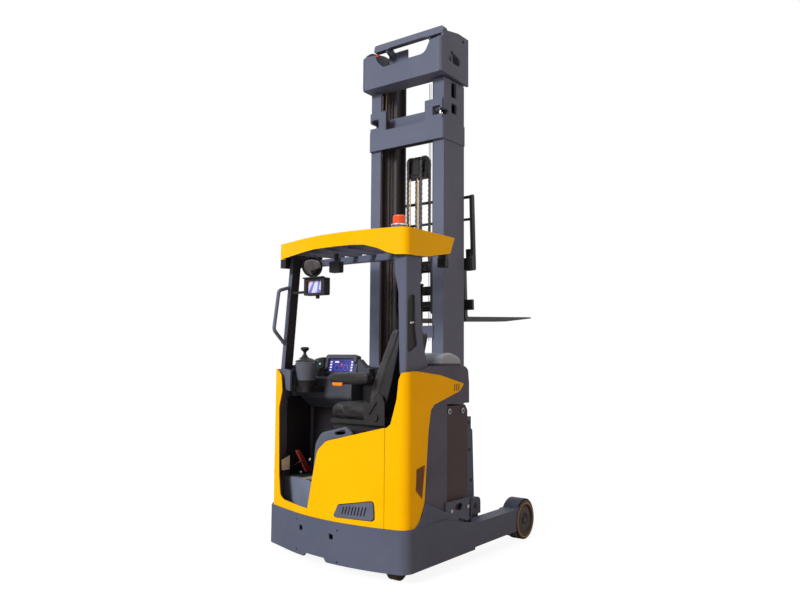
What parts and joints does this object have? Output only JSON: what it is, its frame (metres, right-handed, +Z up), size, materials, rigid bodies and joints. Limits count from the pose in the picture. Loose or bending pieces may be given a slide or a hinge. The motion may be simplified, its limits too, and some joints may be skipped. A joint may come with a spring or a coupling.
{
  "type": "electric reach truck",
  "caption": "Seated electric reach truck with a telescopic mast on a reach carriage, straddle legs, tilting forks and an overhead guard.",
  "frame": {"origin": "on the floor under the middle of the truck's overall length and width", "axes": "+Z up, +Y towards the forks, +X to the truck's right side"},
  "size_m": [1.27, 2.382, 3.86],
  "materials": {
    "body_yellow": "gloss yellow-orange paint",
    "chassis_grey": "satin slate grey paint",
    "mast_paint": "satin blue-grey paint",
    "mast_dark": "greased dark steel rails",
    "dark_metal": "satin black paint",
    "chrome_rod": "ground and chromed",
    "cast_grey": "painted casting",
    "panel_plastic": "moulded, fine grain",
    "black_plastic": "moulded, matt black",
    "seat_fabric": "woven seat cover",
    "display_screen": "display housing",
    "pedal_pad": "pedal pads",
    "mirror_glass": "convex mirror in a plastic shell",
    "beacon_lens": "orange-red lens",
    "battery_case": "acid-proof dark paint",
    "wheel_poly": "polyurethane tyre on a steel hub",
    "drive_tyre": "polyurethane drive tyre",
    "chain_steel": "oiled leaf chain",
    "fork_steel": "black forged steel"
  },
  "bodies": {
    "truck": {"chassis": "chassis_grey", "straddle_leg_right": "chassis_grey", "straddle_leg_left": "chassis_grey", "cab_floor": "black_plastic", "rear_panel": "body_yellow", "corner_cover": "body_yellow", "door_frame": "body_yellow", "side_frames": "panel_plastic", "battery_hood": "panel_plastic", "vent_grille": "panel_plastic", "overhead_guard": "body_yellow", "guard_frame": "mast_paint", "cab_lining": "black_plastic", "door_trim": "panel_plastic", "seat_base": "black_plastic", "seat_cushion": "seat_fabric", "seat_back": "seat_fabric", "armrest": "black_plastic", "steering_pod": "panel_plastic", "dashboard": "panel_plastic", "display": "display_screen", "pedals": "pedal_pad", "mirror": "mirror_glass", "monitor": "black_plastic", "work_lamps": "black_plastic", "beacon": "beacon_lens", "battery": "battery_case", "battery_retainers": "mast_paint", "reach_cylinder": "dark_metal", "grab_handle": "mast_paint", "door_cap": "panel_plastic"},
    "reach": {"reach_carriage": "mast_paint", "mast_outer": "mast_paint", "lift_cylinders": "dark_metal", "reach_rod": "chrome_rod"},
    "middle_stage": {"mast_middle": "mast_dark", "mast_head": "mast_paint", "lift_rods": "chrome_rod", "lift_chains": "chain_steel"},
    "inner_stage": {"mast_inner": "mast_dark", "free_lift_cylinder": "dark_metal"},
    "free_lift": {"free_lift_rod": "chrome_rod", "free_lift_chains": "chain_steel"},
    "carriage": {"lift_carriage": "dark_metal"},
    "fork_carrier": {"fork_frame": "dark_metal", "forks": "fork_steel"},
    "drive_steer": {"drive_unit": "cast_grey"},
    "drive_roll": {"drive_wheel": "drive_tyre"},
    "castor_swivel": {"castor_fork": "dark_metal"},
    "castor_roll": {"castor_wheel": "drive_tyre"},
    "load_roll_right": {"load_wheel_right": "wheel_poly"},
    "load_roll_left": {"load_wheel_left": "wheel_poly"},
    "steering": {"steering_wheel": "black_plastic"}
  },
  "joints": [
    {"name": "reach", "type": "slide", "parent": "truck", "child": "reach", "axis": [0, 1, 0], "range_m": [0, 0.56]},
    {"name": "lift_middle", "type": "slide", "parent": "reach", "child": "middle_stage", "axis": [0, 0, 1], "range_m": [0, 2.6]},
    {"name": "lift_inner", "type": "slide", "parent": "middle_stage", "child": "inner_stage", "axis": [0, 0, 1], "range_m": [0, 2.6]},
    {"name": "carriage_lift", "type": "slide", "parent": "inner_stage", "child": "carriage", "axis": [0, 0, 1], "range_m": [-1.62, 1.3]},
    {"name": "free_lift", "type": "slide", "parent": "inner_stage", "child": "free_lift", "axis": [0, 0, 1], "range_m": [-0.81, 0.65]},
    {"name": "fork_tilt", "type": "hinge", "parent": "carriage", "child": "fork_carrier", "pos_m": [0, 0.02625, 1.766], "axis": [1, 0, 0], "range_deg": [-4.6, 1.4]},
    {"name": "steer", "type": "hinge", "parent": "truck", "child": "drive_steer", "pos_m": [0.06, -0.89575, 0.356], "axis": [0, 0, 1], "range_deg": [-90, 90]},
    {"name": "drive_roll", "type": "hinge", "parent": "drive_steer", "child": "drive_roll", "pos_m": [0.06, -0.89575, 0.1715], "axis": [1, 0, 0], "continuous": true},
    {"name": "castor_swivel", "type": "hinge", "parent": "truck", "child": "castor_swivel", "pos_m": [0.488, -0.97576, 0.206], "axis": [0, 0, 1], "continuous": true},
    {"name": "castor_roll", "type": "hinge", "parent": "castor_swivel", "child": "castor_roll", "pos_m": [0.488, -1.01775, 0.07], "axis": [1, 0, 0], "continuous": true},
    {"name": "load_roll_right", "type": "hinge", "parent": "truck", "child": "load_roll_right", "pos_m": [0.585, 0.41624, 0.143], "axis": [1, 0, 0], "continuous": true},
    {"name": "load_roll_left", "type": "hinge", "parent": "truck", "child": "load_roll_left", "pos_m": [-0.585, 0.41624, 0.143], "axis": [1, 0, 0], "continuous": true},
    {"name": "steering", "type": "hinge", "parent": "truck", "child": "steering", "pos_m": [-0.408, -0.91575, 1.34], "axis": [0, 0, 1], "continuous": true}
  ],
  "couplings": [
    {"joint": "lift_inner", "follows": "lift_middle", "ratio": 1},
    {"joint": "free_lift", "follows": "carriage_lift", "ratio": 0.5}
  ]
}
